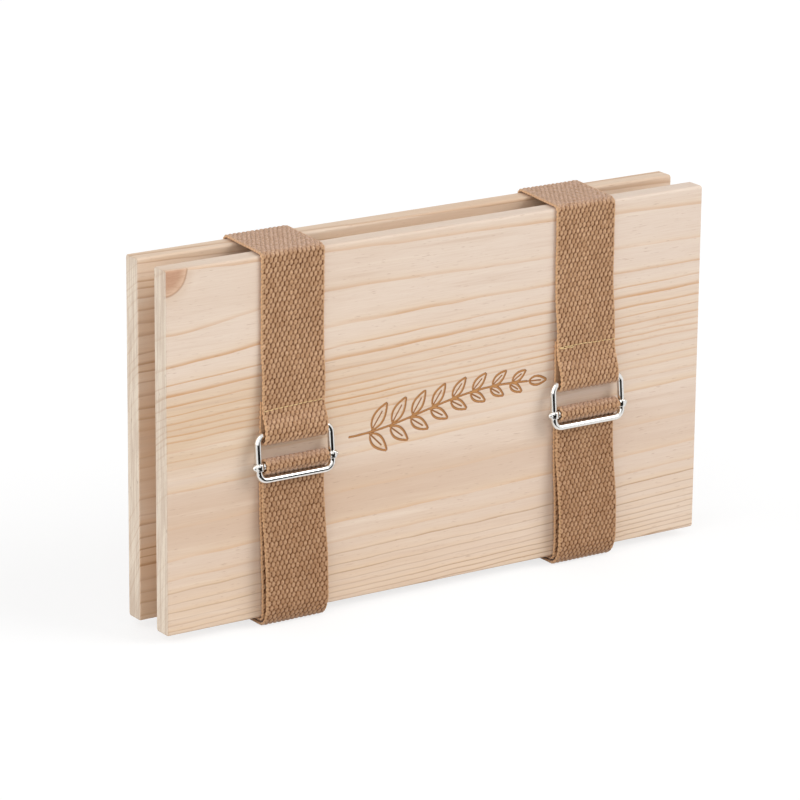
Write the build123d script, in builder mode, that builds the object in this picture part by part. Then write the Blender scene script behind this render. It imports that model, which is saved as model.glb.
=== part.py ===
from build123d import *
import math
import os

# A flower press: two pine boards on their long edges, card and blotting paper between
# them, and two webbing straps with wire slide buckles that draw the boards together.
# Millimetres. +X runs along the boards, +Y to the back, +Z up. The origin is under the
# middle of the press, on the surface that the straps stand on.

# Boards
board_length = 275.0
board_height = 159.0
board_thickness = 9.6
board_edge_radius = 1.2

# Card and blotting paper, from the back board to the front board
stack_order = ("card", "blotter", "blotter") * 3 + ("card",)
sheet_end_margin = 12.5
sheet_edge_margin = 10.0
blotter_thickness = 0.65
card_thickness = 2.4
card_liner = 0.35
card_medium = 0.35
flute_pitch = 7.2
flute_base_share = 0.72
flute_crest_share = 0.28

# Webbing
webbing_width = 31.2
webbing_thickness = 1.6
board_clearance = 0.3
layer_clearance = 0.3
wire_clearance = 0.3
hem_clearance = 0.2
hem_converge_share = 0.6
hem_drop = 22.0
wrap_clearance = 0.5
tail_rise = 100.0

# Slide buckles
wire_diameter = 3.0
wire_sides = 16
frame_pitch = 19.2
frame_side_clearance = 1.05
frame_corner_radius = 3.6
frame_corner_bends = 4
throat_run = 2.8
bead_diameter = 4.8
bead_height = 3.5
bead_clearance = 0.3
bead_face_share = 0.5
bead_waist_share = 0.45

# Where each strap stands: its middle along the board, its buckle's bottom wire above the
# board's lower edge, the length of its sewn end behind the buckle's top bar, and how far its
# loop hangs below the bar
left_strap_x = -77.2
left_buckle_height = 63.1
left_hem_length = 14.0
left_loop_hang = 1.2
right_strap_x = 74.0
right_buckle_height = 61.5
right_hem_length = 19.0
right_loop_hang = 0.2

# Layers of webbing and the wires that they pass, measured out from a board's face to the
# middle of the webbing or wire
inner_layer = board_clearance + webbing_thickness / 2
outer_layer = inner_layer + webbing_thickness + layer_clearance
hem_layer = inner_layer + webbing_thickness + hem_clearance
wire_bend = wire_diameter / 2 + wire_clearance + webbing_thickness / 2
top_bar_out = inner_layer + wire_bend
bottom_wire_out = outer_layer + wire_bend

# The frame leans out at the bottom, and the slide bar stands where the webbing just
# passes between it and the bottom wire
frame_lean = math.asin((bottom_wire_out - top_bar_out) / frame_pitch)
bar_rest = math.hypot(2 * wire_bend, throat_run)
bar_rise = bar_rest * math.cos(frame_lean)
slide_bar_out = bottom_wire_out - bar_rest * math.sin(frame_lean)
throat_angle = math.asin(2 * wire_bend / bar_rest) - frame_lean
frame_half_width = webbing_width / 2 + frame_side_clearance + wire_diameter / 2

# Heights and depths
sheet_length = board_length - 2 * sheet_end_margin
sheet_height = board_height - 2 * sheet_edge_margin
sheet_thickness = {"card": card_thickness, "blotter": blotter_thickness}
stack_depth = sum(sheet_thickness[kind] for kind in stack_order)
board_bottom = outer_layer + webbing_thickness / 2
board_middle = board_bottom + board_height / 2
board_top = board_bottom + board_height
front_reach = slide_bar_out + wire_bend + webbing_thickness / 2
back_reach = outer_layer + webbing_thickness / 2
stack_y = (front_reach - back_reach) / 2
front_face = stack_y - stack_depth / 2 - board_thickness
back_face = stack_y + stack_depth / 2 + board_thickness

# Straight length across the press between the rounded edges, and the two sizes of bend
cross_length = back_face - front_face - 2 * board_edge_radius
inner_bend = board_edge_radius + inner_layer
outer_bend = board_edge_radius + outer_layer


def keep(piece, label):
    """Name a finished piece and write it as one file."""
    piece.label = label
    export_step(piece, f"parts/{label}.step")


def board(middle_y):
    """A planed board on its long edge: long edges rounded, ends sawn square."""
    with BuildPart() as plank:
        with Locations((0, middle_y, board_middle)):
            Box(board_length, board_thickness, board_height)
        fillet(plank.edges().filter_by(Axis.X), board_edge_radius)
    return plank.part


def blotter(middle_y):
    """One sheet of blotting paper."""
    with BuildPart() as sheet:
        with Locations((0, middle_y, board_middle)):
            Box(sheet_length, blotter_thickness, sheet_height)
    return sheet.part


def card(middle_y):
    """Corrugated card: two liners with a folded medium between, its flutes open at the top."""
    flute_height = card_thickness - 2 * card_liner - card_medium
    base_width = flute_base_share * flute_pitch
    crest_width = flute_crest_share * flute_pitch
    flank = math.degrees(math.atan2(flute_height, (base_width - crest_width) / 2))
    flutes = int(sheet_length // flute_pitch) - 1
    first_middle = -card_medium / 2
    with BuildPart() as sheet:
        with BuildSketch(Plane((0, middle_y, board_middle - sheet_height / 2))):
            Rectangle(sheet_length, card_thickness)
            with Locations((0, first_middle)):
                with GridLocations(flute_pitch, 0, flutes, 1):
                    Trapezoid(base_width, flute_height, flank, mode=Mode.SUBTRACT)
            with Locations((0, -first_middle)):
                with GridLocations(flute_pitch, 0, flutes + 1, 1):
                    Trapezoid(base_width, flute_height, flank, rotation=180, mode=Mode.SUBTRACT)
        extrude(amount=sheet_height)
    return sheet.part


def straight(length):
    """A straight stretch of a webbing route."""
    return length, 0, 0


def bend(radius, turn):
    """A bend of a webbing route, in degrees, positive from +Y towards +Z."""
    return 0, radius, turn


def s_bend(shift, length):
    """Two equal bends that carry the route sideways, positive to the right of its heading."""
    turn = 2 * math.atan2(abs(shift), length)
    radius = length / (2 * math.sin(turn))
    side = math.copysign(math.degrees(turn), shift)
    return bend(radius, -side), bend(radius, side)


def pointing(heading):
    """The direction of a heading, in degrees, as its two parts in a plane."""
    return math.cos(math.radians(heading)), math.sin(math.radians(heading))


def webbing(x, start, heading, moves):
    """A flat band swept along straight stretches and bends in the plane across the press."""
    section = Plane((x, *start), x_dir=(1, 0, 0), z_dir=(0, *pointing(heading)))
    with BuildPart() as band:
        with BuildLine(Plane.YZ.offset(x)):
            point = start
            for length, radius, turn in moves:
                if turn:
                    stretch = JernArc(point, pointing(heading), radius, turn)
                else:
                    stretch = PolarLine(point, length, heading)
                point = stretch @ 1
                heading += turn
        with BuildSketch(section):
            Rectangle(webbing_width, webbing_thickness)
        sweep()
    return band.part


def buckle_plane(x, top_bar_z):
    """The leaning plane of a buckle: its origin on the top bar, its y up along the side wires."""
    outward = (0, -math.cos(frame_lean), math.sin(frame_lean))
    return Plane((x, front_face - top_bar_out, top_bar_z), x_dir=(1, 0, 0), z_dir=outward)


def buckle_frame(plane):
    """A rectangle of wire: its round section drawn with flats, its corners in equal small bends."""
    across = frame_half_width - frame_corner_radius
    upper, lower = -frame_corner_radius, frame_corner_radius - frame_pitch
    corners = ((-across, upper), (-across, lower), (across, lower), (across, upper))
    step = 90 / frame_corner_bends
    bends = []
    for quarter, (corner_x, corner_y) in enumerate(corners, start=1):
        for bend_number in range(frame_corner_bends + 1):
            out_x, out_y = pointing(90 * quarter + step * bend_number)
            bends.append((corner_x + frame_corner_radius * out_x, corner_y + frame_corner_radius * out_y))
    with BuildPart() as frame:
        with BuildLine(plane):
            Polyline((0, 0), *bends, close=True)
        with BuildSketch(Plane(plane.origin, x_dir=plane.z_dir, z_dir=-plane.x_dir)):
            RegularPolygon(wire_diameter / 2, wire_sides)
        sweep(transition=Transition.RIGHT)
    return frame.part


def slide_bar(plane):
    """A round bar with a barrel bead at each end that runs on a side wire."""
    bar_y = bar_rest - frame_pitch
    bore = wire_diameter / 2 + bead_clearance
    bead = bead_diameter / 2
    bead_face = bore + bead_face_share * (bead - bore)
    rise = bead_height / 2
    waist = bead_waist_share * rise
    bar_half = frame_half_width - (bore + bead) / 2
    middle = plane.from_local_coords((0, bar_y, 0))
    with BuildPart() as bar:
        with BuildSketch(Plane(middle, x_dir=plane.y_dir, z_dir=plane.x_dir)):
            Circle(wire_diameter / 2)
        extrude(amount=bar_half, both=True)
        for side_x in (-frame_half_width, frame_half_width):
            bead_middle = plane.from_local_coords((side_x, bar_y, 0))
            with BuildSketch(Plane(bead_middle, x_dir=plane.x_dir, z_dir=plane.z_dir)):
                Polygon(
                    (bore, -rise),
                    (bead_face, -rise),
                    (bead, -waist),
                    (bead, waist),
                    (bead_face, rise),
                    (bore, rise),
                    align=None,
                )
            revolve(axis=Axis(bead_middle, plane.y_dir))
    return bar.part


def strap(side, x, buckle_height, hem_length, loop_hang):
    """One strap: its webbing in runs from the sewn end to the free end, and its buckle."""
    bottom_wire_z = board_bottom + buckle_height
    top_bar_z = bottom_wire_z + frame_pitch * math.cos(frame_lean)
    slide_bar_z = bottom_wire_z + bar_rise
    hem_converge = hem_converge_share * hem_length
    upper_straight = board_top - board_edge_radius - top_bar_z - hem_length - hem_drop
    side_straight = board_height - 2 * board_edge_radius
    lower_straight = buckle_height - board_edge_radius
    bar_back = slide_bar_out - wire_bend
    throat_turn = math.degrees(throat_angle)
    up, down, forward, backward = 90, -90, 180, 0
    front_y = front_face + board_edge_radius
    back_y = back_face - board_edge_radius

    # From the sewn end round the top bar, up the front and over the top to the back
    hem_end = (front_face - inner_layer, top_bar_z + hem_length)
    upper_run = webbing(x, hem_end, down, (
        straight(hem_length + loop_hang),
        bend(wire_bend, -180),
        straight(loop_hang),
        *s_bend(top_bar_out + wire_bend - hem_layer, hem_converge),
        straight(hem_length - hem_converge),
        *s_bend(hem_layer - inner_layer, hem_drop),
        straight(upper_straight),
        bend(inner_bend, -90),
    ))
    keep(upper_run, f"{side}_strap_upper_run")
    top_span = webbing(x, (front_y, board_top + inner_layer), backward, (straight(cross_length),))
    keep(top_span, f"{side}_strap_top_span")
    back_run = webbing(x, (back_y, board_top + inner_layer), backward, (
        bend(inner_bend, -90),
        straight(side_straight),
        bend(inner_bend, -90),
    ))
    keep(back_run, f"{side}_strap_back_run")

    # Forward under the boards, up the front to the back of the slide bar, and round it
    bottom_span = webbing(x, (back_y, board_bottom - inner_layer), forward, (straight(cross_length),))
    keep(bottom_span, f"{side}_strap_bottom_span")
    lower_run = webbing(x, (front_y, board_bottom - inner_layer), forward, (
        bend(inner_bend, -90),
        straight(lower_straight),
        *s_bend(inner_layer - bar_back, bar_rise - wrap_clearance),
    ))
    keep(lower_run, f"{side}_strap_lower_run")
    bar_wrap = webbing(x, (front_face - bar_back, slide_bar_z), up, (
        bend(wire_bend, 180 + throat_turn),
        straight(throat_run / 2),
    ))
    keep(bar_wrap, f"{side}_strap_bar_wrap")

    # Behind the bottom wire, down the front over the inner layer, under, and up the back
    throat_rise = wire_bend * math.sin(throat_angle) + throat_run / 2 * math.cos(throat_angle)
    throat_reach = wire_bend * (1 - math.cos(throat_angle)) + throat_run / 2 * math.sin(throat_angle)
    throat_middle = (front_face - outer_layer - throat_reach, bottom_wire_z + throat_rise)
    tail_front = webbing(x, throat_middle, down + throat_turn, (
        straight(throat_run / 2),
        bend(wire_bend, -throat_turn),
        straight(lower_straight),
        bend(outer_bend, 90),
    ))
    keep(tail_front, f"{side}_strap_tail_front")
    tail_bottom = webbing(x, (front_y, board_bottom - outer_layer), backward, (straight(cross_length),))
    keep(tail_bottom, f"{side}_strap_tail_bottom")
    tail_back = webbing(x, (back_y, board_bottom - outer_layer), backward, (
        bend(outer_bend, 90),
        straight(tail_rise),
    ))
    keep(tail_back, f"{side}_strap_tail_back")

    plane = buckle_plane(x, top_bar_z)
    keep(buckle_frame(plane), f"{side}_buckle_frame")
    keep(slide_bar(plane), f"{side}_buckle_slide_bar")


os.makedirs("parts", exist_ok=True)

keep(board(front_face + board_thickness / 2), "front_board")
keep(board(back_face - board_thickness / 2), "back_board")

sheet_makers = {"card": card, "blotter": blotter}
sheet_counts = {"card": 0, "blotter": 0}
sheet_back = back_face - board_thickness
for kind in stack_order:
    sheet_counts[kind] += 1
    sheet = sheet_makers[kind](sheet_back - sheet_thickness[kind] / 2)
    keep(sheet, f"{kind}_{sheet_counts[kind]}")
    sheet_back -= sheet_thickness[kind]

strap("left", left_strap_x, left_buckle_height, left_hem_length, left_loop_hang)
strap("right", right_strap_x, right_buckle_height, right_hem_length, right_loop_hang)
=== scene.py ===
import bmesh
import bpy
import math
import numpy as np
from mathutils import Matrix, Vector


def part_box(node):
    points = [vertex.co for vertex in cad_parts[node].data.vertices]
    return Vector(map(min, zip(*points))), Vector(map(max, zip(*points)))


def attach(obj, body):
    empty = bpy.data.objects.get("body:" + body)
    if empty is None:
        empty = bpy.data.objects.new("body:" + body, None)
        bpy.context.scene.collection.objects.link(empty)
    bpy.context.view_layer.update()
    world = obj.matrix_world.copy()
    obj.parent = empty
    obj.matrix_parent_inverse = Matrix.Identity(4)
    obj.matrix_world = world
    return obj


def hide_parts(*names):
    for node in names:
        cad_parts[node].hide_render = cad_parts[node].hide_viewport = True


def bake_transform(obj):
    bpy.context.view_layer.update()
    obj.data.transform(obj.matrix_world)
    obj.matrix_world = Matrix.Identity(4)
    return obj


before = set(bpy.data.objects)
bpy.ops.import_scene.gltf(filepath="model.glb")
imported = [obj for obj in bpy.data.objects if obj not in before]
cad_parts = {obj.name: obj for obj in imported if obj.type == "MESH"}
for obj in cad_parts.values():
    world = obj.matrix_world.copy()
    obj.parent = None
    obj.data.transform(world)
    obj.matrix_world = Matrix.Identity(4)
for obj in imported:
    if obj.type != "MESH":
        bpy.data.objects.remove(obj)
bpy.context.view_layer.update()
MM = 0.001
rng = np.random.default_rng(7)

# Sizes in millimetres, the same as the solids have
webbing_width = 31.2
webbing_thickness = 1.6
clearance = 0.3
hem_clearance = 0.2
wire_radius = 1.5
board_edge_radius = 1.2
frame_pitch = 19.2
frame_half_width = 18.15
frame_corner_radius = 3.6
throat_run = 2.8
bead_radius = 2.4
bead_bore = 1.8
tail_rise = 100.0

# Sizes that depart a little from the solids: lower beads, and a gentler ease of the loop to its fold
bead_half_height = 1.5
hem_converge_share = 0.85
hem_drop = 28.0

# Layers of webbing and the wires that they pass, measured out from a board's face
inner_layer = clearance + webbing_thickness / 2
outer_layer = inner_layer + webbing_thickness + clearance
hem_layer = inner_layer + webbing_thickness + hem_clearance
wire_bend = wire_radius + clearance + webbing_thickness / 2
top_bar_out = inner_layer + wire_bend
bottom_wire_out = outer_layer + wire_bend

# Each strap: its middle, its buckle's bottom wire above the board's lower edge, its sewn end, the
# hang of its loop, its stitches, how the cloth sways sideways (heights and the shift there), and how
# far the strap runs askew over the top
sides = {
    "left": {
        "x": -77.2, "buckle_height": 63.1, "hem": 14.0, "hang": 1.2,
        "stitch": 10.8, "stitch_tilt": 1.3,
        "sway": ((0, 50, 82, 110, 165), (0.6, -0.5, -0.7, 0.2, 0.5)), "askew": 2.6,
    },
    "right": {
        "x": 74.0, "buckle_height": 61.5, "hem": 19.0, "hang": 0.2,
        "stitch": 16.4, "stitch_tilt": -0.4,
        "sway": ((0, 25, 50, 90, 120, 165), (0.9, 0.7, -0.2, -0.2, -0.5, -0.6)), "askew": 3.6,
    },
}

front_lo, front_hi = (np.array(c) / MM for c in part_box("front_board"))
back_lo, back_hi = (np.array(c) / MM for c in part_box("back_board"))
front_face, back_face = front_lo[1], back_hi[1]
board_bottom, board_top = front_lo[2], front_hi[2]
board_height = board_top - board_bottom

# The lean of the buckles, where their bars rest, and the webbing's way round the boards
frame_lean = math.asin((bottom_wire_out - top_bar_out) / frame_pitch)
bar_rest = math.hypot(2 * wire_bend, throat_run)
bar_rise = bar_rest * math.cos(frame_lean)
slide_bar_out = bottom_wire_out - bar_rest * math.sin(frame_lean)
throat_angle = math.asin(2 * wire_bend / bar_rest) - frame_lean
cross_length = back_face - front_face - 2 * board_edge_radius
inner_bend = board_edge_radius + inner_layer
outer_bend = board_edge_radius + outer_layer


def srgb(r, g, b):
    """An sRGB colour in 0 to 255 as linear RGBA."""
    out = []
    for c in (r, g, b):
        c /= 255
        out.append(c / 12.92 if c <= 0.04045 else ((c + 0.055) / 1.055) ** 2.4)
    return (*out, 1.0)


def new_object(name, verts_mm, faces, material, closed=True):
    """A piece from points and faces; a closed one gets all its faces turned outwards."""
    mesh = bpy.data.meshes.new(name)
    mesh.from_pydata((np.asarray(verts_mm) * MM).tolist(), [], faces)
    if closed:
        shell = bmesh.new()
        shell.from_mesh(mesh)
        bmesh.ops.recalc_face_normals(shell, faces=shell.faces)
        shell.to_mesh(mesh)
        shell.free()
    mesh.materials.append(material)
    mesh.polygons.foreach_set("use_smooth", [True] * len(mesh.polygons))
    mesh.update()
    obj = bpy.data.objects.new(name, mesh)
    bpy.context.scene.collection.objects.link(obj)
    return obj


def shell_faces(rings, around, closed=False, start=0):
    """Quads between neighbouring rings of points, then a cap on each end.

    A closed shell joins its last ring to its first and has no caps. start is its first point."""
    i = np.arange(rings if closed else rings - 1)[:, None]
    j = np.arange(around)[None, :]
    n = (i + 1) % rings
    k = (j + 1) % around
    quads = np.stack([i * around + j, i * around + k, n * around + k, n * around + j], -1)
    faces = (quads.reshape(-1, 4) + start).tolist()
    if not closed:
        for first in (start, start + (rings - 1) * around):
            faces.append(list(range(first, first + around)))
    return faces


def flatten_caps(obj):
    """Shades the two end caps flat, which are the last faces of a piece."""
    for polygon in obj.data.polygons[-2:]:
        polygon.use_smooth = False


def add_values(obj, name, values):
    """A value at each point, for the material to read."""
    attribute = obj.data.attributes.new(name, "FLOAT", "POINT")
    attribute.data.foreach_set("value", np.asarray(values, np.float32).ravel())


class Nodes:
    """A short way to write a material's nodes."""

    def __init__(self, name):
        self.material = bpy.data.materials.new(name)
        self.material.use_nodes = True
        self.tree = self.material.node_tree
        self.shader = self.tree.nodes["Principled BSDF"]

    def put(self, socket, value):
        if isinstance(value, bpy.types.NodeSocket):
            self.tree.links.new(value, socket)
        else:
            socket.default_value = value

    def node(self, kind, inputs=None, **settings):
        n = self.tree.nodes.new(kind)
        for key, value in settings.items():
            setattr(n, key, value)
        for key, value in (inputs or {}).items():
            self.put(n.inputs[key], value)
        return n

    def math(self, operation, a, b=0.0, c=0.0, clamp=False):
        inputs = {0: a, 1: b, 2: c}
        return self.node("ShaderNodeMath", inputs, operation=operation, use_clamp=clamp).outputs[0]

    def times(self, a, b, clamp=False):
        return self.math("MULTIPLY", a, b, clamp=clamp)

    def ramp(self, value, low, high, to_low=0.0, to_high=1.0):
        """A smooth step from to_low to to_high as the value goes from low to high."""
        inputs = {
            "Value": value, "From Min": low, "From Max": high, "To Min": to_low, "To Max": to_high,
        }
        return self.node("ShaderNodeMapRange", inputs, interpolation_type="SMOOTHSTEP").outputs[0]

    def fading(self, value, rate):
        """A share that falls off from 1 as the value grows."""
        return self.math("POWER", 2.718, self.times(value, -rate))

    def mix(self, factor, a, b):
        n = self.node("ShaderNodeMix", {0: factor}, data_type="RGBA")
        self.put(n.inputs[6], a)
        self.put(n.inputs[7], b)
        return n.outputs[2]

    def stretched(self, position, x, y, z, offset):
        inputs = {0: position, 1: (x, y, z), 2: offset}
        return self.node("ShaderNodeVectorMath", inputs, operation="MULTIPLY_ADD").outputs[0]

    def noise(self, vector, detail=2.0, roughness=0.5, distortion=0.0):
        inputs = {
            "Vector": vector, "Scale": 1.0,
            "Detail": detail, "Roughness": roughness, "Distortion": distortion,
        }
        return self.node("ShaderNodeTexNoise", inputs).outputs[0]

    def drawn_lot(self, number):
        """A random share for each whole number."""
        return self.node("ShaderNodeTexWhiteNoise", {"W": number}, noise_dimensions="1D").outputs[0]

    def bump(self, height, strength, distance_mm, normal=None):
        inputs = {"Height": height, "Strength": strength, "Distance": distance_mm * MM}
        n = self.node("ShaderNodeBump", inputs)
        if normal is not None:
            self.put(n.inputs["Normal"], normal)
        return n.outputs[0]

    def attribute(self, name):
        return self.node("ShaderNodeAttribute", attribute_name=name).outputs["Fac"]

    def separate(self, vector):
        return self.node("ShaderNodeSeparateXYZ", {0: vector}).outputs

    def position_mm(self):
        place = self.node("ShaderNodeTexCoord").outputs["Object"]
        inputs = {0: place, 3: 1 / MM}
        return self.node("ShaderNodeVectorMath", inputs, operation="SCALE").outputs[0]

    def set(self, **inputs):
        for key, value in inputs.items():
            self.put(self.shader.inputs[key.replace("_", " ")], value)
        return self.material


# Heights, in mm up the front board, between which its grain changes
thin_lines, low_lines, low_late = (20.0, 34.0), (30.0, 22.0), (32.0, 20.0)
plain_start, plain_end = (36.0, 42.0), (68.0, 56.0)
crowd_start, crowd_end = (70.0, 84.0), (120.0, 100.0)
strong_lines, calm_lines = (76.0, 88.0), (113.0, 126.0)


def pine(name, face_y, pith_out, pith_drop, rings, seed, tints, zones=False, knot=None,
         engraved=False):
    """Planed pine: growth rings about a line along X, which meet the front face at given heights.

    zones lets the grain change up the face; knot gives a knot's middle and half sizes."""
    n = Nodes(name)
    p = n.position_mm()
    x, y, z = n.separate(p)[:3]
    v = n.math("SUBTRACT", z, float(board_bottom))

    # How far the rings wander up and down: slow, quick and fine waves on a slope
    slow = n.noise(n.stretched(p, 0.0065, 0.012, 0.012, (seed, seed * 2, 3.0)), detail=1.0)
    quick = n.noise(n.stretched(p, 0.035, 0.07, 0.07, (seed * 3, 1.0, seed)), detail=1.0)
    fine = n.noise(n.stretched(p, 0.11, 0.5, 0.5, (2.0, seed, seed * 5)), detail=2.0)
    wander = n.times(x, n.ramp(v, 112.0, 142.0, -0.031, 0.026))
    for wave, reach in ((slow, 3.5), (quick, 1.5), (fine, 0.35)):
        wander = n.math("MULTIPLY_ADD", n.math("SUBTRACT", wave, 0.5), reach, wander)

    # The height at which the ring through each point meets the front face
    out = n.math("SUBTRACT", y, float(face_y - pith_out))
    rise = n.math("ADD", n.math("ADD", v, pith_drop), wander)
    square = n.math("MULTIPLY_ADD", out, out, n.times(rise, rise))
    square = n.math("SUBTRACT", square, float(pith_out ** 2))
    height = n.math("SQRT", n.math("ABSOLUTE", square))
    height = n.math("MULTIPLY_ADD", height, n.math("SIGN", square), -pith_drop)
    if knot:
        # Rings swirl up towards the knot
        knot_x, knot_v, knot_a, knot_b = knot
        swirl_a, swirl_b, swirl_lift = 1900, 900, 20.0
        ku = n.math("SUBTRACT", x, knot_x)
        kv = n.math("SUBTRACT", v, knot_v)
        near = n.times(n.times(kv, kv), 1 / swirl_b)
        near = n.math("MULTIPLY_ADD", n.times(ku, ku), 1 / swirl_a, near)
        near = n.times(n.fading(near, 1.0), n.ramp(kv, -8.0, -22.0))
        height = n.math("MULTIPLY_ADD", near, swirl_lift, height)

    # Count of rings up to that height, and the distance to the ring's edge on either side
    low, span = rings[0], rings[-1] - rings[0]
    whole = len(rings) - 1

    def count(of_height):
        curve = n.node("ShaderNodeFloatCurve")
        points = curve.mapping.curves[0].points
        while len(points) > 2:
            points.remove(points[1])
        points[0].location = (0.0, 0.0)
        points[1].location = (1.0, 1.0)
        for k, ring in enumerate(rings[1:-1], start=1):
            points.new((ring - low) / span, k / whole)
        curve.mapping.update()
        share = n.times(n.math("SUBTRACT", of_height, float(low)), 1 / span)
        n.put(curve.inputs["Value"], share)
        return n.times(curve.outputs[0], float(whole))

    step = 0.6
    here = count(height)
    above = count(n.math("ADD", height, step))
    pace = n.math("DIVIDE", step, n.math("MAXIMUM", n.math("SUBTRACT", above, here), 0.02))
    past = n.math("FRACT", here)
    to_next = n.times(n.math("SUBTRACT", 1.0, past), pace)
    from_last = n.times(past, pace)

    # Each ring's dark line: its breadth, its weight along the board, and the warm wood above it
    thinnest, broadest = 0.6, 2.1
    mark = n.math("ROUND", here)
    own = n.drawn_lot(mark)
    broad = n.drawn_lot(n.math("ADD", mark, 40.5))
    broad = n.times(pace, n.math("MULTIPLY_ADD", broad, 0.32, 0.12))
    broad = n.math("MINIMUM", n.math("MAXIMUM", broad, thinnest), broadest)
    if zones:
        broad = n.math("MINIMUM", broad, n.ramp(height, *thin_lines, 0.55, broadest))
    fade = n.ramp(n.math("DIVIDE", from_last, broad), 1.0, 0.0)
    core = n.math("MAXIMUM", fade, n.ramp(to_next, 0.3, 0.0))
    glow = n.fading(from_last, 0.4)
    along = n.noise(n.stretched(p, 0.018, 0.1, 0.1, (seed * 7, 0.0, 0.0)), detail=2.0)
    weight = n.math("MULTIPLY_ADD", own, 0.55, 0.45)
    weight = n.times(weight, n.ramp(along, 0.25, 0.7, 0.5, 1.0))
    warm = n.times(glow, weight, clamp=True)
    if zones:
        base = n.ramp(x, -120.0, 20.0, 0.05, 0.5)
        base = n.math("MULTIPLY_ADD", n.ramp(height, *low_lines), base, 0.38)
        strong = n.math("MULTIPLY_ADD", n.ramp(height, *strong_lines), 0.72, base)
        weight = n.times(weight, strong)
        weight = n.times(weight, n.ramp(height, *calm_lines, 1.0, 0.7))
        weight = n.times(weight, n.ramp(x, -120.0, -10.0, 1.22, 1.0))
    else:
        bunch = n.noise(n.stretched(p, 0.003, 0.028, 0.028, (seed * 6, 1.0, 2.0)), detail=1.0)
        weight = n.times(weight, n.ramp(bunch, 0.38, 0.62, 0.3, 1.0))
    line = n.times(core, weight, clamp=True)

    # Colour: early wood in two tints, yellow above each line, warm late wood, fibres and flecks
    pale, pink, yellow, late = (srgb(*c) for c in tints)
    tint = n.noise(n.stretched(p, 0.006, 0.028, 0.028, (seed, 5.0, seed)), detail=2.0)
    lower = n.ramp(v, 130.0, 10.0, -0.12, 0.12)
    colour = n.mix(n.ramp(n.math("ADD", tint, lower), 0.35, 0.68), pale, pink)
    if zones:
        plain = n.times(n.ramp(height, *plain_start), n.ramp(height, *plain_end))
        plain = n.times(plain, n.ramp(tint, 0.25, 0.6, 0.25, 0.75))
        colour = n.mix(plain, colour, srgb(215, 186, 161))
        crowd = n.times(n.ramp(height, *crowd_start), n.ramp(height, *crowd_end))
        crowd = n.times(crowd, n.ramp(x, 40.0, -120.0, 0.15, 0.75))
        colour = n.mix(crowd, colour, srgb(221, 192, 161))
        colour = n.mix(n.ramp(x, -80.0, 110.0, 0.0, 0.45), colour, srgb(230, 212, 198))
        late = n.mix(n.ramp(height, *low_late), late, srgb(164, 122, 88))
    colour = n.mix(n.times(warm, 0.8), colour, yellow)
    colour = n.mix(line, colour, late)
    streaks = n.stretched(p, 0.011, 0.3, 0.3, (seed * 4, 2.0, seed))
    streaks = n.noise(streaks, detail=3.0, roughness=0.6)
    colour = n.mix(n.ramp(streaks, 0.52, 0.8, 0.0, 0.5), colour, srgb(213, 184, 160))
    colour = n.mix(n.ramp(streaks, 0.48, 0.2, 0.0, 0.5), colour, srgb(241, 225, 208))
    fibre = n.noise(n.stretched(p, 0.07, 2.2, 2.2, (0.0, seed, 0.0)), detail=3.0, roughness=0.65)
    colour = n.mix(n.ramp(fibre, 0.35, 0.75, 0.0, 0.2), colour, srgb(206, 172, 142))
    fleck = n.noise(n.stretched(p, 0.2, 2.1, 2.1, (seed * 2, 9.0, seed)), detail=1.0)
    fleck = n.times(n.ramp(fleck, 0.67, 0.79), 0.36)
    colour = n.mix(fleck, colour, srgb(176, 134, 106))

    # Sawn ends: soft upright streaks and fine open pores
    facing = n.separate(n.node("ShaderNodeTexCoord").outputs["Normal"])
    end = n.ramp(n.math("ABSOLUTE", facing[0]), 0.75, 0.95)
    pores = n.noise(n.stretched(p, 0.3, 2.6, 1.4, (seed, 0.0, 4.0)), detail=3.0, roughness=0.7)
    streak = n.stretched(p, 0.3, 0.75, 0.045, (seed, 2.0, 4.0))
    streak = n.noise(streak, detail=3.0, roughness=0.6, distortion=0.3)
    sawn = n.ramp(streak, 0.35, 0.65, 0.0, 0.75)
    sawn = n.mix(sawn, srgb(243, 228, 209), srgb(214, 192, 172))
    sawn = n.mix(n.ramp(pores, 0.4, 0.8, 0.0, 0.35), sawn, srgb(205, 178, 152))
    sawn = n.mix(n.times(line, 0.4), sawn, srgb(196, 156, 118))
    speck = n.noise(n.stretched(p, 0.5, 1.0, 0.25, (4.0, seed, seed)), detail=1.0)
    sawn = n.mix(n.ramp(speck, 0.72, 0.8, 0.0, 0.6), sawn, srgb(150, 116, 94))
    colour = n.mix(end, colour, sawn)
    if knot:
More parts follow.
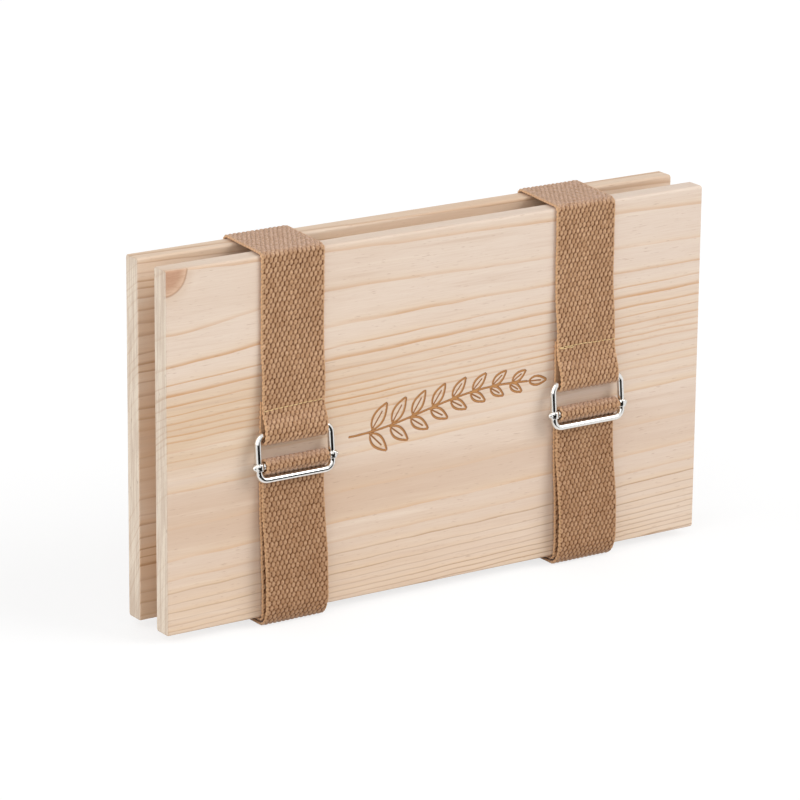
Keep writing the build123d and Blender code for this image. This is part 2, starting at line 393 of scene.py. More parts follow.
        # The knot: a brown heart, a thin dark rim and a soft shade round it, on the front face
        ru = n.math("DIVIDE", ku, knot_a)
        rv = n.math("DIVIDE", kv, knot_b)
        reach = n.math("SQRT", n.math("MULTIPLY_ADD", ru, ru, n.times(rv, rv)))
        reach = n.math("MULTIPLY_ADD", n.math("SUBTRACT", quick, 0.5), 0.3, reach)
        front = n.ramp(n.times(facing[1], -1.0), 0.4, 0.85, 0.08, 1.0)
        heart = n.mix(n.ramp(reach, 0.95, 0.6), srgb(222, 188, 160), srgb(202, 160, 132))
        heart = n.mix(n.ramp(pores, 0.4, 0.7, 0.0, 0.4), heart, srgb(184, 134, 104))
        colour = n.mix(n.times(n.ramp(reach, 1.0, 0.95), front), colour, heart)
        shade = n.times(n.ramp(reach, 1.5, 1.0, 0.0, 0.35), front)
        shade = n.times(shade, n.ramp(reach, 0.96, 1.0))
        colour = n.mix(shade, colour, srgb(214, 184, 156))
        rim = n.times(n.ramp(reach, 0.9, 0.97), n.ramp(reach, 1.04, 0.98))
        rim = n.times(n.times(rim, 0.5), front)
        colour = n.mix(rim, colour, srgb(166, 116, 86))
    normal = n.bump(n.math("MULTIPLY_ADD", line, -0.7, fibre), 0.35, 0.06)
    normal = n.bump(n.times(pores, end), 0.5, 0.15, normal)
    rough = n.ramp(fibre, 0.2, 0.8, 0.5, 0.66)
    if engraved:
        cut = n.attribute("engraved")
        burnt = n.mix(n.ramp(cut, 0.55, 1.0), srgb(150, 98, 58), srgb(196, 144, 92))
        burnt = n.mix(n.ramp(fibre, 0.35, 0.7, 0.0, 0.4), burnt, srgb(168, 116, 72))
        colour = n.mix(n.ramp(cut, 0.1, 0.45), colour, burnt)
        rough = n.math("MULTIPLY_ADD", n.ramp(cut, 0.12, 0.7), 0.25, rough)
    return n.set(Base_Color=colour, Roughness=rough, Normal=normal, Specular_IOR_Level=0.22)


# Heights, in mm above a board's lower edge, at which its growth rings meet its front face
front_rings = [
    -46.0, -36.0, -27.0, -19.0, -12.0, -7.0, -3.4, -1.0, 1.1, 3.4, 5.8, 8.4, 11.0, 14.2, 18.0,
    23.0, 28.6, 37.0, 50.5, 66.5, 72.0, 77.0, 80.2, 84.7, 89.0, 91.8, 94.6, 97.6, 101.4, 105.4,
    110.2, 115.6, 124.2, 138.4, 155.0, 169.0, 184.0, 200.0,
]
back_rings = [
    -60.0, -48.0, -38.0, -29.0, -21.0, -14.0, -8.0, -2.5, 2.4, 7.0, 12.5, 17.0, 22.5, 29.0, 33.0,
    36.5, 41.5, 47.0, 51.0, 58.0, 66.0, 71.5, 76.0, 81.0, 88.0, 93.0, 97.5, 103.0, 109.0, 113.5,
    117.0, 121.0, 126.0, 129.5, 133.5, 138.0, 142.0, 145.0, 148.5, 153.0, 158.5, 166.0, 176.0,
    190.0, 210.0,
]
front_tints = ((234, 215, 198), (226, 204, 185), (231, 202, 166), (208, 156, 110))
back_tints = ((233, 210, 188), (224, 192, 163), (226, 190, 148), (178, 130, 92))
front_pine = pine(
    "front_pine", front_face, 95.0, 70.0, front_rings, 1.7, front_tints, zones=True,
    knot=(front_lo[0] - 0.5, board_height + 0.5, 10.6, 12.4), engraved=True,
)
back_pine = pine("back_pine", back_lo[1], 140.0, 60.0, back_rings, 4.3, back_tints)


# The engraved sprig: the part of the front board that holds it and its middle, from the board's left
# end and lower edge, and the spacing of the points there; the depth, half width and soft edge of its
# lines; and its leaves
patch_u, patch_v = (81.0, 199.0), (58.0, 100.0)
sprig_u, sprig_v = 136.0, 79.0
engraving_step, engraving_depth = 0.3, 0.4
stroke, soft_edge = 0.46, 0.3
stem_half = 46
leaf_pairs, end_leaf = 8, 10.5


def stem(at):
    """Place and direction of the sprig's stem, at shares from -1 to 1 along it."""
    swing, tempo, phase, rise = 3.2, 2.3, 0.4, 3.0
    v = swing * np.sin(tempo * at + phase) + rise * at
    return stem_half * at, v, np.arctan2(swing * tempo * np.cos(tempo * at + phase) + rise, 50)


def sprig(u, v):
    """Depth share of a leafy sprig cut in thin lines, at places given from its middle, in mm."""
    cut = np.zeros_like(u)
    stem_u, stem_v, _ = stem(np.linspace(-1, 1, 240)[::2])
    for a, b in zip(stem_u, stem_v):
        near = np.hypot(u - a, v - b)
        cut = np.maximum(cut, np.clip((stroke + soft_edge / 2 - near) / soft_edge, 0, 1))
    for k, at in enumerate(np.linspace(-0.78, 0.8, leaf_pairs)):
        a, b, slope = stem(at)
        for side in (1, -1):
            turn = slope + side * math.radians(50 - 2.5 * k)
            length = (14.5 - 0.75 * k) * (1.0 if side > 0 else 0.93)
            cut = np.maximum(cut, leaf(u, v, a + side * 0.6, b, turn, length))
    return np.maximum(cut, leaf(u, v, *stem(1.0), end_leaf))


def leaf(u, v, at_u, at_v, turn, length):
    """One leaf of the sprig: its outline and its midrib."""
    along = (u - at_u) * math.cos(turn) + (v - at_v) * math.sin(turn)
    across = -(u - at_u) * math.sin(turn) + (v - at_v) * math.cos(turn)
    share = along / length
    inside = (share > 0.1) & (share < 1.0)
    t = np.clip((share - 0.1) / 0.9, 0, 1)
    half = 0.19 * length * np.sin(np.pi * t ** 0.8) ** 0.9
    edge = np.clip((stroke - np.abs(np.abs(across) - half)) / soft_edge + 0.5, 0, 1)
    rib = np.clip((stroke * 0.6 - np.abs(across)) / soft_edge + 0.5, 0, 1)
    rib = rib * (share < 0.72) * (share > 0)
    return np.maximum(edge * inside, rib * 0.8)


# A board's eased end: places from the end and how far the section is drawn in there, and the place
# where it is full
end_stations = ((0.0, 0.45), (0.12, 0.14))
full_from = 0.45


def board(name, lo, hi, material, engraved):
    """A planed board with rounded long edges and lightly eased ends."""
    r = board_edge_radius
    length, depth, top = hi[0] - lo[0], hi[1] - lo[1], board_height
    arc = np.radians(np.linspace(0, 90, 6)[1:-1])
    if engraved:
        zs = np.unique(np.concatenate([
            np.linspace(r, patch_v[0], 14), np.arange(*patch_v, engraving_step),
            np.linspace(patch_v[1], top - r, 16)]))
        xs = np.unique(np.concatenate([
            np.linspace(full_from, patch_u[0], 26), np.arange(*patch_u, engraving_step),
            np.linspace(patch_u[1], length - full_from, 26)]))
    else:
        zs = np.linspace(r, top - r, 40)
        xs = np.linspace(full_from, length - full_from, 90)
    section = [(0.0, z) for z in zs]
    section += [(r - r * math.cos(a), top - r + r * math.sin(a)) for a in arc]
    section += [(r, top), (depth / 2, top), (depth - r, top)]
    section += [(depth - r + r * math.sin(a), top - r + r * math.cos(a)) for a in arc]
    section += [(depth, z) for z in np.linspace(top - r, r, 14)]
    section += [(depth - r + r * math.cos(a), r - r * math.sin(a)) for a in arc]
    section += [(depth - r, 0.0), (depth / 2, 0.0), (r, 0.0)]
    section += [(r - r * math.sin(a), r - r * math.cos(a)) for a in arc]
    section = np.array(section)
    middle = np.array([depth / 2, top / 2])
    stations = list(end_stations) + [(x, 0.0) for x in xs]
    stations += [(length - x, inset) for x, inset in reversed(end_stations)]
    verts, cut = [], []
    for x, inset in stations:
        ring = middle + (section - middle) * (1 - inset / middle)
        share = np.zeros(len(ring))
        if engraved and patch_u[0] < x < patch_u[1]:
            face = slice(0, len(zs))
            share[face] = sprig(np.full(len(zs), x - sprig_u), zs - sprig_v)
            ring[face, 0] += engraving_depth * share[face]
        place = [np.full(len(ring), lo[0] + x), lo[1] + ring[:, 0], lo[2] + ring[:, 1]]
        verts.append(np.column_stack(place))
        cut.append(share)
    faces = shell_faces(len(stations), len(section))
    obj = new_object(name, np.concatenate(verts), faces, material)
    if engraved:
        add_values(obj, "engraved", np.concatenate(cut))
    flatten_caps(obj)
    weighted = obj.modifiers.new("normals", "WEIGHTED_NORMAL")
    weighted.keep_sharp = True
    return obj


front_board = board("pine_front_board", front_lo, front_hi, front_pine, True)
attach(front_board, "front")
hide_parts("front_board")
back_board = board("pine_back_board", back_lo, back_hi, back_pine, False)
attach(back_board, "back")
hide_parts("back_board")


def cotton_webbing():
    """Twisted cotton floats; painted shade in dips and low down; painted light on top and golden
    edges.
    """
    n = Nodes("webbing")
    p = n.position_mm()
    yarn = n.node("ShaderNodeUVMap", uv_map="weave").outputs[0]
    twist = {"Vector": yarn, "Scale": 1.0, "Distortion": 1.2, "Detail": 1.0}
    twist = n.node("ShaderNodeTexWave", twist).outputs["Fac"]
    heather = n.noise(n.stretched(p, 1.6, 1.6, 1.6, (1.0, 2.0, 3.0)), detail=3.0, roughness=0.7)
    patch = n.noise(n.stretched(p, 0.05, 0.05, 0.05, (7.0, 2.0, 3.0)), detail=2.0)
    top = n.mix(n.ramp(heather, 0.3, 0.7), srgb(190, 146, 108), srgb(229, 189, 152))
    top = n.mix(n.ramp(patch, 0.3, 0.7, 0.0, 0.3), top, srgb(182, 142, 108))
    top = n.mix(n.ramp(n.attribute("tone"), 0.1, 1.0, 0.0, 0.4), top, srgb(168, 124, 86))
    top = n.mix(n.times(twist, 0.14), top, srgb(150, 106, 70))
    # Painted highlight: level runs over the top of the press are lightened towards a pale colour, as
    # light falls on them
    painted_top_light_colour = n.mix(n.ramp(heather, 0.4, 0.6), srgb(186, 148, 122), srgb(225, 196, 179))
    top = n.mix(n.attribute("painted_top_light"), top, painted_top_light_colour)
    # Painted light: the golden colour on the rounded edges, and partly on the corded selvedge, stands
    # in for light falling on them
    top = n.mix(n.times(n.attribute("edge"), 0.65), top, srgb(244, 197, 150))
    # Painted shade: the weave darkens where the dip value is high, in the dips between floats,
    # between the cords of its edges and on its underside
    colour = n.mix(n.ramp(n.attribute("dip_shade"), 0.12, 1.0), top, srgb(92, 48, 20))
    # Painted shade: the webbing is darkened towards the bottom of the press, where less light falls
    lower = n.ramp(n.separate(p)[2], 100.0, 40.0, 0.0, 0.2)
    colour = n.mix(lower, colour, srgb(120, 78, 44))
    normal = n.bump(n.math("MULTIPLY_ADD", twist, 0.5, heather), 0.5, 0.16)
    return n.set(Base_Color=colour, Roughness=0.88, Normal=normal, Specular_IOR_Level=0.2,
                 Sheen_Weight=0.4, Sheen_Roughness=0.25)


webbing_material = cotton_webbing()


# Moves of a route: a length, and the radius and turn of a bend, in degrees and positive to the left
def straight(length):
    return (length, 0.0, 0.0)


def bend(radius, turn):
    return (radius * abs(math.radians(turn)), radius, turn)


def s_bend(shift, length):
    """Two bends that shift a route sideways, to the right where the shift is positive."""
    turn = 2 * math.atan2(abs(shift), length)
    radius = length / (2 * math.sin(turn))
    side = math.copysign(math.degrees(turn), shift)
    return [bend(radius, -side), bend(radius, side)]


def follow(start, heading, moves, places):
    """Y, Z and heading, in radians, at given lengths along straight stretches and bends."""
    y = np.zeros(len(places))
    z = np.zeros(len(places))
    angle = np.zeros(len(places))
    at, (py, pz), h = 0.0, start, math.radians(heading)
    slack = 1e-9
    for number, (length, radius, turn) in enumerate(moves):
        last = number == len(moves) - 1
        before_end = places <= at + length + slack if last else places < at + length - slack
        here = (places >= at - slack) & before_end
        t = places[here] - at
        if turn:
            sign = math.copysign(1.0, turn)
            a = h + sign * t / radius
            cy, cz = py - sign * radius * math.sin(h), pz + sign * radius * math.cos(h)
            y[here], z[here] = cy + sign * radius * np.sin(a), cz - sign * radius * np.cos(a)
            angle[here] = a
            h = h + math.radians(turn)
            py, pz = cy + sign * radius * math.sin(h), cz - sign * radius * math.cos(h)
        else:
            y[here], z[here], angle[here] = py + t * math.cos(h), pz + t * math.sin(h), h
            py, pz = py + length * math.cos(h), pz + length * math.sin(h)
        at += length
    return y, z, angle


# The weave: the spacing of its floats across and along the webbing, their half sizes and slant, and
# how much each one's place and height may stray
pick_across, pick_along = 2.2, 4.35
float_across, float_along, float_slant = 1.02, 1.38, 0.08
stray_across, stray_along, stray_height = 0.06, 0.1, 0.08
cell_rows, cell_columns = 400, 40
cell_noise = rng.uniform(-1, 1, (cell_rows, cell_columns, 3))

# The webbing's mesh: spacing of its rows; points on its woven side, round an edge and underneath; how
# far from the edge each side stops, and where it starts to round off
row_step = 0.42
woven_points, edge_points, under_points = 86, 3, 14
woven_margin, under_margin = 0.45, 0.6
woven_round, under_round = 1.1, 1.2

# Its corded edge, the ground between its floats, the points round an edge (how far they lie past the
# webbing's width, and their heights), and how far down behind the press a strap runs askew
selvedge_from, selvedge_ease = 1.15, 0.35
ground = 0.16
edge_past = np.array([-0.2, 0.02, -0.2])
edge_heights = np.array([0.24, -0.06, -0.38])
askew_height = 70.0


def weave(t, s):
    """Height and own tone of staggered yarn floats, at places across and along the webbing."""
    height = np.zeros_like(t)
    tone = np.zeros_like(t)
    for k, (shift_t, shift_s) in enumerate(((0.0, 0.0), (pick_across / 2, pick_along / 2))):
        col = np.round((t - shift_t) / pick_across)
        row = np.round((s - shift_s) / pick_along)
        own = cell_noise[(row.astype(int) * 2 + k) % cell_rows, col.astype(int) % cell_columns]
        dt = t - shift_t - col * pick_across + stray_across * own[..., 0]
        ds = s - shift_s - row * pick_along + stray_along * own[..., 1]
        q = ((dt - float_slant * ds) / float_across) ** 2 + (ds / float_along) ** 2
        dome = np.clip(1 - q, 0, None) ** 0.5 * (1 + stray_height * own[..., 2])
        tone = np.where(dome > height, own[..., 2] * 0.5 + 0.5, tone)
        height = np.maximum(height, dome)
    return height, tone


def rounded(t, reach):
    """How much of its height the webbing keeps where it rounds off, within reach of its edges."""
    past = np.clip(np.abs(t) - (webbing_width / 2 - reach), 0, None) / reach
    return np.sqrt(np.clip(1 - past ** 2, 0, 1))


def band(name, x, line, first, last, face, sway, askew, bow=None):
    """Woven webbing along part of a route, its floats on its left where face is 1, else its right.

    sway shifts it sideways and bow outwards, both by height; askew shifts it sideways behind the
    press."""
    steps = max(4, int(round((last - first) / row_step)))
    s = np.linspace(first, last, steps + 1)
    rows = len(s)
    y, z, heading = follow(*line, s)
    if bow:
        y = y - bow(z)
    half = webbing_width / 2
    thick = webbing_thickness / 2

    # Points across, their height above the webbing's middle, and what the material reads
    t = np.linspace(-half + woven_margin, half - woven_margin, woven_points)
    grid_t, grid_s = np.meshgrid(t, s)
    height, tone = weave(grid_t, grid_s * face)
    selvedge = np.clip((np.abs(grid_t) - (half - selvedge_from)) / selvedge_ease, 0, 1)
    cord = np.cos(math.pi * (grid_s + 0.5 * np.abs(grid_t)) / (pick_along / 3))
    height = height * (1 - selvedge) + (0.35 + 0.65 * np.abs(cord)) * selvedge
    upper = (ground + (thick - 0.14) * height) * rounded(grid_t, woven_round)
    under_t = np.linspace(half - under_margin, -half + under_margin, under_points)
    under = np.full((rows, under_points), 0.1 - thick) * rounded(under_t, under_round)[None, :]
    ripple = np.cos(2 * math.pi * s / (pick_along / 2))
    wave = 0.28 * ripple + 0.12 * np.sin(s / 3.1)
    edge_t = (half + edge_past)[None, :] + (wave * 0.6)[:, None]

    def each_row(values):
        return np.repeat(values[None, :], rows, 0)

    def round_edge(value):
        return np.full((rows, edge_points), value)

    ring_t = np.hstack([grid_t, edge_t, each_row(under_t), -edge_t[:, ::-1]])
    ring_h = np.hstack([upper, each_row(edge_heights), under, each_row(edge_heights[::-1])])
    # level is 1 on level runs: there the painted shade in the dips is halved, and a painted highlight
    # lightens the top
    level = np.cos(heading)[:, None] ** 2
    # Painted shade: dip values darken the dips between floats, the gaps between the cords round the
    # edges and, evenly, the underside
    edge_painted_shade = np.repeat((0.2 - 0.2 * ripple)[:, None], edge_points, 1)
    below = np.ones((rows, under_points))
    painted_dip_shade = np.hstack([(1 - height) * (1 - 0.5 * level), edge_painted_shade, 0.4 * below, edge_painted_shade])
    tones = np.hstack([tone, round_edge(0.0), 0.5 * below, round_edge(0.0)])
    # Painted light on the edges: full on the rounded edges, 0.4 on the corded selvedge
    painted_edge_light = np.hstack([0.4 * selvedge, round_edge(1.0), 0.0 * below, round_edge(1.0)])

    left_y, left_z = -np.sin(heading), np.cos(heading)
    behind = np.clip((y - front_face) / (back_face - front_face), 0, 1)
    aside = askew * behind * np.clip(1 - (board_top - z) / askew_height, 0, 1)
    px = x + (np.interp(z, *sway) + aside)[:, None] + ring_t
    py = y[:, None] + face * ring_h * left_y[:, None]
    pz = z[:, None] + face * ring_h * left_z[:, None]
    around = ring_t.shape[1]
    faces = shell_faces(rows, around)
    obj = new_object(name, np.stack([px, py, pz], -1).reshape(-1, 3), faces, webbing_material)
    flatten_caps(obj)
    # For the material: painted shade in the dips, a painted highlight on level runs, painted light at
    # the edges, and each float's own tone
    add_values(obj, "dip_shade", np.clip(painted_dip_shade, 0, 1))
    add_values(obj, "tone", tones)
    add_values(obj, "painted_top_light", np.repeat(0.6 * level, around, 1))
    add_values(obj, "edge", painted_edge_light)

    # Coordinates for the twist of the yarn
    uv = obj.data.uv_layers.new(name="weave")
    lengths = np.repeat(s[:, None], around, 1)
    plain = np.stack([ring_t * 0.9 + lengths * 0.45, lengths], -1).reshape(-1, 2)
    loops = np.zeros(len(obj.data.loops), np.int32)
    obj.data.loops.foreach_get("vertex_index", loops)
    uv.data.foreach_set("uv", plain[loops].astype(np.float32).ravel())
    return obj


def polished_nickel():
    n = Nodes("nickel_wire")
    p = n.position_mm()
    drawn = n.noise(n.stretched(p, 0.8, 0.8, 0.8, (3.0, 1.0, 2.0)), detail=3.0, roughness=0.6)
    colour = n.mix(n.ramp(drawn, 0.3, 0.7), srgb(232, 231, 228), srgb(220, 218, 214))
    rough = n.ramp(drawn, 0.2, 0.8, 0.05, 0.1)
    return n.set(Base_Color=colour, Roughness=rough, Metallic=1.0)


nickel = polished_nickel()

# The buckles' mesh and the details of their bars: the play of the bar between the barrels, the
# narrowed ends of its neck, the flat of each barrel's rim, and the knob outside each barrel
wire_points, corner_points = 28, 13
bar_play = 0.25
neck_chamfer, neck_end_share = 0.2, 0.85
barrel_rim, barrel_chamfer = 0.35, 0.2
knob_radius, knob_length, knob_start = 1.25, 1.15, 0.15


def tube(points, tangents, radius, around):
    """A closed tube round a line in the buckle's plane."""
    rings = []
    angles = np.linspace(0, 2 * math.pi, around, endpoint=False)
    out = Vector((0.0, -math.cos(frame_lean), math.sin(frame_lean)))
    for point, tangent in zip(points, tangents):
        tangent = Vector(tangent).normalized()
        side = tangent.cross(out).normalized()
        up = side.cross(tangent)
        ring = [math.cos(a) * np.array(side) + math.sin(a) * np.array(up) for a in angles]
        rings.append(np.array(point) + radius * np.array(ring))
    return np.concatenate(rings), shell_faces(len(rings), around, True)


def buckle(side, x, top_z):
    """The wire frame and the sliding bar of one buckle, as two pieces."""
    origin = np.array([x, front_face - top_bar_out, top_z])
    right = np.array([1.0, 0.0, 0.0])
    up = np.array([0.0, math.sin(frame_lean), math.cos(frame_lean)])
    out = np.array([0.0, -math.cos(frame_lean), math.sin(frame_lean)])
    r = frame_corner_radius
    across, low = frame_half_width - r, -frame_pitch + r
    points, tangents = [], []
    for k, (cx, cy) in enumerate(((across, -r), (-across, -r), (-across, low), (across, low))):
        for a in np.radians(np.linspace(90 * k, 90 * k + 90, corner_points)):
            points.append(origin + (cx + r * math.cos(a)) * right + (cy + r * math.sin(a)) * up)
            tangents.append(-math.sin(a) * right + math.cos(a) * up)
    verts, faces = tube(points, tangents, wire_radius, wire_points)
    wire = new_object(f"{side}_buckle_wire", verts, faces, nickel)
    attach(wire, f"{side}_buckle")
    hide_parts(f"{side}_buckle_frame")

    # The bar, with a formed barrel at each end that runs on a side wire
    middle = origin + (bar_rest - frame_pitch) * up
    verts, faces = [], []
    angles = np.linspace(0, 2 * math.pi, wire_points, endpoint=False)

    def revolve(profile, centre, axis, first, second, closed=False):
        """Turns a profile of radii and heights about an axis; a closed one is a ring."""
        start = sum(len(v) for v in verts)
        circle = np.cos(angles)[:, None] * first + np.sin(angles)[:, None] * second
        rings = [centre + h * axis + rad * circle for rad, h in profile]
        faces.extend(shell_faces(len(rings), wire_points, closed, start))
        verts.append(np.concatenate(rings))

    reach = frame_half_width - bead_bore - bar_play
    neck = np.linspace(-reach + neck_chamfer, reach - neck_chamfer, 16)
    neck = [(wire_radius, h) for h in neck]
    narrow = wire_radius * neck_end_share
    revolve([(narrow, -reach)] + neck + [(narrow, reach)], middle, right, up, out)

    inner_rim = bead_bore + barrel_rim
    barrel = [(bead_bore, -bead_half_height + barrel_chamfer)]
    for a in np.radians(np.linspace(-90, 90, 13)):
        belly = math.cos(a) ** 0.7 if math.cos(a) > 1e-6 else 0.0
        barrel.append((inner_rim + (bead_radius - inner_rim) * belly, bead_half_height * math.sin(a)))
    barrel += [(bead_bore, h) for h in (bead_half_height - barrel_chamfer, 0.8, 0.0, -0.8)]
    knob = []
    for a in np.radians(np.linspace(0, 84, 9)):
        knob.append((knob_radius * math.cos(a), bead_bore + knob_start + knob_length * math.sin(a)))
    for sign in (-1, 1):
        end = middle + sign * frame_half_width * right
        revolve(barrel, end, up, right, out, closed=True)
        revolve(knob, end, sign * right, out, sign * up)
    bar = new_object(f"{side}_buckle_bar", np.concatenate(verts), faces, nickel)
    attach(bar, f"{side}_slide_bar")
    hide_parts(f"{side}_buckle_slide_bar")


def sewing_thread():
    n = Nodes("sewing_thread")
    p = n.position_mm()
    ply = n.noise(n.stretched(p, 3.0, 3.0, 3.0, (0.0, 0.0, 0.0)), detail=2.0)
    colour = n.mix(n.ramp(ply, 0.3, 0.7), srgb(218, 182, 124), srgb(232, 204, 152))
    return n.set(Base_Color=colour, Roughness=0.6, Normal=n.bump(ply, 0.4, 0.08), Sheen_Weight=0.2)


thread_material = sewing_thread()

# The stitches: their length, the gap between two, the thread's radius, how far it stands up in the
# middle and dives in at its ends, the row's sag, and the points of its mesh
stitch_length, stitch_gap = 1.9, 0.55
thread_radius, thread_lift, thread_dive = 0.22, 0.34, 0.18
row_sag = 1.0
thread_points, thread_rings = 8, 9


def stitches(side, x, top_z, up_by, tilt):
    """A row of machine stitches across the fold, each a thread whose ends go into the weave."""
    verts, faces = [], []
    angles = np.linspace(0, 2 * math.pi, thread_points, endpoint=False)
    surface = front_face - hem_layer - webbing_thickness / 2 + 0.05
    runs = []
    at = -webbing_width / 2 + 1.2
    while at < webbing_width / 2 - 2.0:
        end = at + stitch_length + rng.uniform(-0.25, 0.25)
        runs.append((at, end, rng.uniform(-0.12, 0.12)))
        at = end + stitch_gap
    if side == "right":
        # Sewn back over itself at its start
        at = -webbing_width / 2 + 0.8
        for k in range(4):
            runs.append((at, at + 2.0, -0.5 - 0.25 * (k % 2)))
            at += 1.9
    for a, b, off in runs:
        start = sum(len(v) for v in verts)
        rings = []
        for k in np.linspace(0, 1, thread_rings):
            u = a + (b - a) * k
            lift = thread_lift * math.sin(math.pi * k) ** 0.6 - thread_dive
            share = u / webbing_width
            height = top_z + up_by + tilt * share + row_sag * (0.25 - share ** 2) + off
            rings.append(np.column_stack([
                np.full(thread_points, x + u), surface - lift + thread_radius * np.cos(angles),
                height + thread_radius * np.sin(angles) + 0.1 * k]))
        faces.extend(shell_faces(thread_rings, thread_points, start=start))
        verts.append(np.concatenate(rings))
    row = new_object(f"{side}_stitches", np.concatenate(verts), faces, thread_material)
    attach(row, f"{side}_strap_front")


# How far the slack layers below the buckles bow out from the board, and how much of the lower run
# is drawn with the wrap, from where its other side shows
inner_bow, tail_bow = 0.7, 2.6
fold = 4.0


def strap(side, x, buckle_height, hem, hang, stitch, stitch_tilt, sway, askew):
    """One strap: its webbing in pieces that follow the press and the buckle, buckle and sewing."""
    bottom_wire_z = board_bottom + buckle_height
    top_bar_z = bottom_wire_z + frame_pitch * math.cos(frame_lean)
    converge = hem_converge_share * hem
    upper = board_top - board_edge_radius - top_bar_z - hem - hem_drop
    side_straight = board_height - 2 * board_edge_radius
    lower = buckle_height - board_edge_radius
    bar_back = slide_bar_out - wire_bend
    throat_turn = math.degrees(throat_angle)

    # The route, in the same runs as the solids, from the sewn end to the free end
    routes = {
        "upper_run": [
            straight(hem + hang), bend(wire_bend, -180), straight(hang),
            *s_bend(top_bar_out + wire_bend - hem_layer, converge), straight(hem - converge),
            *s_bend(hem_layer - inner_layer, hem_drop), straight(upper), bend(inner_bend, -90)],
        "top_span": [straight(cross_length)],
        "back_run": [bend(inner_bend, -90), straight(side_straight), bend(inner_bend, -90)],
        "bottom_span": [straight(cross_length)],
        "lower_run": [
            bend(inner_bend, -90), straight(lower), *s_bend(inner_layer - bar_back, bar_rise)],
        "bar_wrap": [bend(wire_bend, 180 + throat_turn), straight(throat_run / 2)],
        "tail_front": [
            straight(throat_run / 2), bend(wire_bend, -throat_turn), straight(lower),
            bend(outer_bend, 90)],
        "tail_bottom": [straight(cross_length)],
        "tail_back": [bend(outer_bend, 90), straight(tail_rise)],
    }
    moves, ends, at = [], {}, 0.0
    for name, route in routes.items():
        moves += route
        length = sum(m[0] for m in route)
        ends[name] = (at, at + length)
        at += length
    line = ((front_face - inner_layer, top_bar_z + hem), -90.0, moves)
    nodes = {name: f"{side}_strap_{name}" for name in routes}
    body, front_body = f"{side}_strap", f"{side}_strap_front"

    def bowed(most):
        """How far slack webbing below the buckle stands out from the board, by height."""
        def eased(share):
            return share * share * (3 - 2 * share)

        def bow(z):
            low = np.clip((z - 0.8) / 9.0, 0, 1)
            high = np.clip((bottom_wire_z - 4.0 - z) / 40.0, 0, 1)
            swell = 0.8 + 0.2 * np.sin(np.pi * np.clip(z / bottom_wire_z, 0, 1) ** 0.7)
            return most * swell * eased(low) * eased(high)
        return bow

    def webbing(name, first, last, face, bow=None):
        return band(f"{side}_webbing_{name}", x, line, first, last, face, sway, askew, bow)

    lower_start, lower_end = ends["lower_run"]

    main = webbing("main", 0.0, ends["bottom_span"][1], 1)
    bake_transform(main)
    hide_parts(nodes["upper_run"], nodes["top_span"], nodes["back_run"], nodes["bottom_span"])
    inner = webbing("lower", lower_start, lower_end - fold, 1, bowed(inner_bow))
    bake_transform(inner)
    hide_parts(nodes["lower_run"])
    wrap = webbing("wrap", lower_end - fold, ends["bar_wrap"][1], -1)
    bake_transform(wrap)
    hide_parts(nodes["bar_wrap"])
    tail = webbing("tail_front", *ends["tail_front"], -1, bowed(tail_bow))
    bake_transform(tail)
    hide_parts(nodes["tail_front"])
    under = webbing("tail_bottom", *ends["tail_bottom"], -1)
    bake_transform(under)
    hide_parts(nodes["tail_bottom"])
    rear = webbing("tail_back", *ends["tail_back"], -1)
    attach(rear, body)
    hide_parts(nodes["tail_back"])
    shift = float(np.interp(bottom_wire_z, *sway))
    buckle(side, x + shift, top_bar_z)
    stitches(side, x + shift, top_bar_z, stitch, stitch_tilt)


for side, values in sides.items():
    strap(side, **values)


def kraft_card():
    n = Nodes("corrugated_card")
    p = n.position_mm()
    pulp = n.noise(n.stretched(p, 0.9, 2.0, 0.35, (0.0, 0.0, 0.0)), detail=4.0, roughness=0.7)
    cloud = n.noise(n.stretched(p, 0.04, 0.04, 0.04, (3.0, 0.0, 1.0)), detail=2.0)
    colour = n.mix(n.ramp(pulp, 0.3, 0.72), srgb(190, 150, 108), srgb(166, 124, 84))
    colour = n.mix(n.ramp(cloud, 0.35, 0.7, 0.0, 0.3), colour, srgb(176, 140, 104))
    normal = n.bump(pulp, 0.3, 0.08)
    return n.set(Base_Color=colour, Roughness=0.9, Normal=normal, Specular_IOR_Level=0.2)


def blotting_paper():
    n = Nodes("blotting_paper")
    p = n.position_mm()
    pulp = n.noise(n.stretched(p, 1.2, 1.2, 1.2, (5.0, 0.0, 0.0)), detail=4.0, roughness=0.7)
    colour = n.mix(n.ramp(pulp, 0.3, 0.7), srgb(240, 237, 228), srgb(226, 221, 209))
    normal = n.bump(pulp, 0.35, 0.1)
    return n.set(Base_Color=colour, Roughness=0.95, Normal=normal, Specular_IOR_Level=0.15)


sheet_materials = {"card": kraft_card(), "blotter": blotting_paper()}
for name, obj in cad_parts.items():
    material = sheet_materials.get(name.split("_")[0])
    if material:
        for slot in obj.material_slots:
            slot.material = material

# Camera, at the photographed viewing angle
camera_place = Vector((-1.00701, -1.49881, 0.63292))
azimuth, elevation, roll = math.radians(33.563), math.radians(16.967), math.radians(0.544)
level_ahead = Vector((math.sin(azimuth), math.cos(azimuth), 0.0))
forward = math.cos(elevation) * level_ahead - Vector((0.0, 0.0, math.sin(elevation)))
right = Vector((math.cos(azimuth), -math.sin(azimuth), 0.0))
up = right.cross(forward)
turned_right = right * math.cos(roll) + up * math.sin(roll)
turned_up = up * math.cos(roll) - right * math.sin(roll)
camera = bpy.data.objects.new("camera", bpy.data.cameras.new("camera"))
camera.data.lens = 195.92
camera.data.sensor_width = 36.0
axes = Matrix((turned_right, turned_up, -forward)).transposed()
camera.matrix_world = Matrix.Translation(camera_place) @ axes.to_4x4()
bpy.context.scene.collection.objects.link(camera)
bpy.context.scene.camera = camera

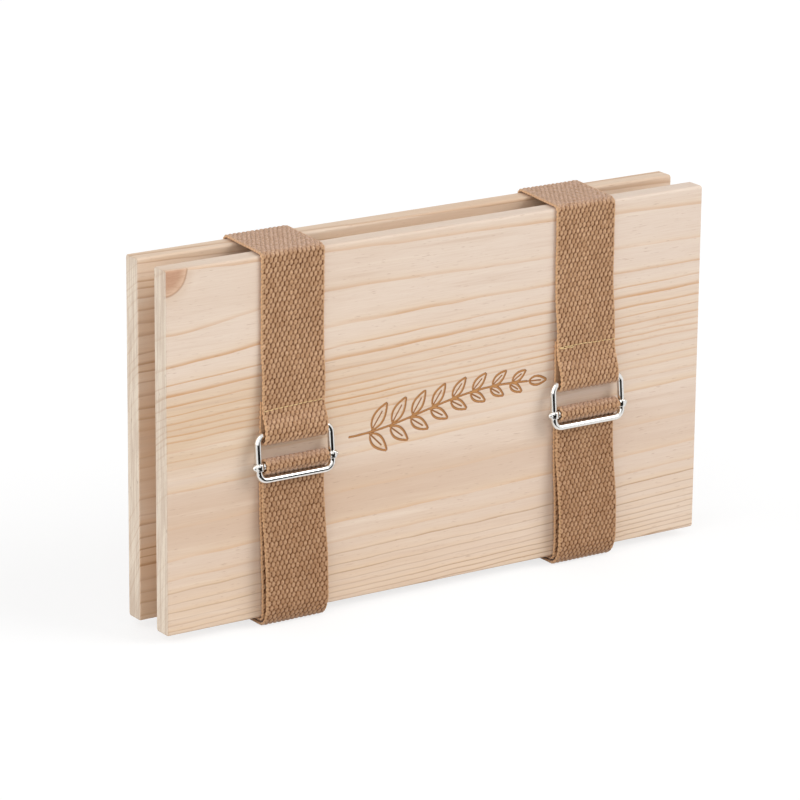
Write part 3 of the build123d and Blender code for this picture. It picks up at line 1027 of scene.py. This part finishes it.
# The studio: grey of the floor to the press and to the camera, the floor's own glow to the camera,
# the world's light on the press, and the floor's half size
floor_grey, shown_grey, floor_glow = 0.8, 0.3, 0.75
world_light = 0.44
far = 9000


def seen_directly(tree):
    """1 for rays of the camera and of reflections, 0 for the light on the press."""
    path = tree.nodes.new("ShaderNodeLightPath")
    total = path.outputs["Is Camera Ray"]
    for name in ("Is Glossy Ray", "Is Transmission Ray"):
        either = tree.nodes.new("ShaderNodeMath")
        either.operation = "MAXIMUM"
        tree.links.new(total, either.inputs[0])
        tree.links.new(path.outputs[name], either.inputs[1])
        total = either.outputs[0]
    return total


def diffuse(tree, grey):
    shader = tree.nodes.new("ShaderNodeBsdfDiffuse")
    shader.inputs["Color"].default_value = (grey, grey, grey, 1)
    return shader.outputs[0]


# Floor: pale, white to the camera, with the soft shadow of the press
floor_material = bpy.data.materials.new("floor")
floor_material.use_nodes = True
tree = floor_material.node_tree
tree.nodes.clear()
glow = tree.nodes.new("ShaderNodeEmission")
glow.inputs["Strength"].default_value = floor_glow
both = tree.nodes.new("ShaderNodeAddShader")
tree.links.new(diffuse(tree, shown_grey), both.inputs[0])
tree.links.new(glow.outputs[0], both.inputs[1])
choose = tree.nodes.new("ShaderNodeMixShader")
tree.links.new(seen_directly(tree), choose.inputs[0])
tree.links.new(diffuse(tree, floor_grey), choose.inputs[1])
tree.links.new(both.outputs[0], choose.inputs[2])
output = tree.nodes.new("ShaderNodeOutputMaterial")
tree.links.new(choose.outputs[0], output.inputs[0])
floor_corners = [(-far, -far, 0), (far, -far, 0), (far, far, 0), (-far, far, 0)]
floor = new_object("floor", floor_corners, [[0, 1, 2, 3]], floor_material, closed=False)

world = bpy.data.worlds.new("studio")
bpy.context.scene.world = world
world.use_nodes = True
tree = world.node_tree
background = tree.nodes["Background"]
background.inputs["Color"].default_value = (1, 1, 1, 1)
strength = tree.nodes.new("ShaderNodeMapRange")
tree.links.new(seen_directly(tree), strength.inputs["Value"])
strength.inputs["To Min"].default_value = world_light
strength.inputs["To Max"].default_value = 1.0
tree.links.new(strength.outputs[0], background.inputs["Strength"])


def sun(name, towards, energy, angle):
    """A soft sun that shines in a direction, as wide in the sky as its angle in degrees."""
    data = bpy.data.lights.new(name, "SUN")
    data.energy = energy
    data.angle = math.radians(angle)
    lamp = bpy.data.objects.new(name, data)
    lamp.rotation_mode = "QUATERNION"
    lamp.rotation_quaternion = Vector(towards).to_track_quat("-Z", "Y")
    bpy.context.scene.collection.objects.link(lamp)


sun("key", (-0.6, 0.6, -0.53), 1.45, 40)
sun("fill", (0.86, 0.28, -0.42), 1.5, 90)

# Dark cards in front of the press, seen only in the bright metal
card_black = bpy.data.materials.new("card_black")
card_black.use_nodes = True
card_shader = card_black.node_tree.nodes["Principled BSDF"]
card_shader.inputs["Base Color"].default_value = (0.01, 0.01, 0.01, 1)
card_shader.inputs["Roughness"].default_value = 1.0
card_y, card_foot = -300, 0.3


def dark_card(name, left, right, end_y, end_z):
    """A card from its foot in front of the press to its far or upper edge."""
    corners = [(left, card_y, card_foot), (right, card_y, card_foot)]
    corners += [(right, end_y, end_z), (left, end_y, end_z)]
    card = new_object(name, corners, [[0, 1, 2, 3]], card_black, closed=False)
    for rays in ("camera", "diffuse", "shadow", "transmission"):
        setattr(card, f"visible_{rays}", False)


dark_card("lying_card", -190, 110, -115, card_foot)
dark_card("low_card", -330, 95, card_y, 60)
dark_card("standing_card", 20, 175, card_y, 115)

bpy.context.scene.view_settings.view_transform = "Standard"
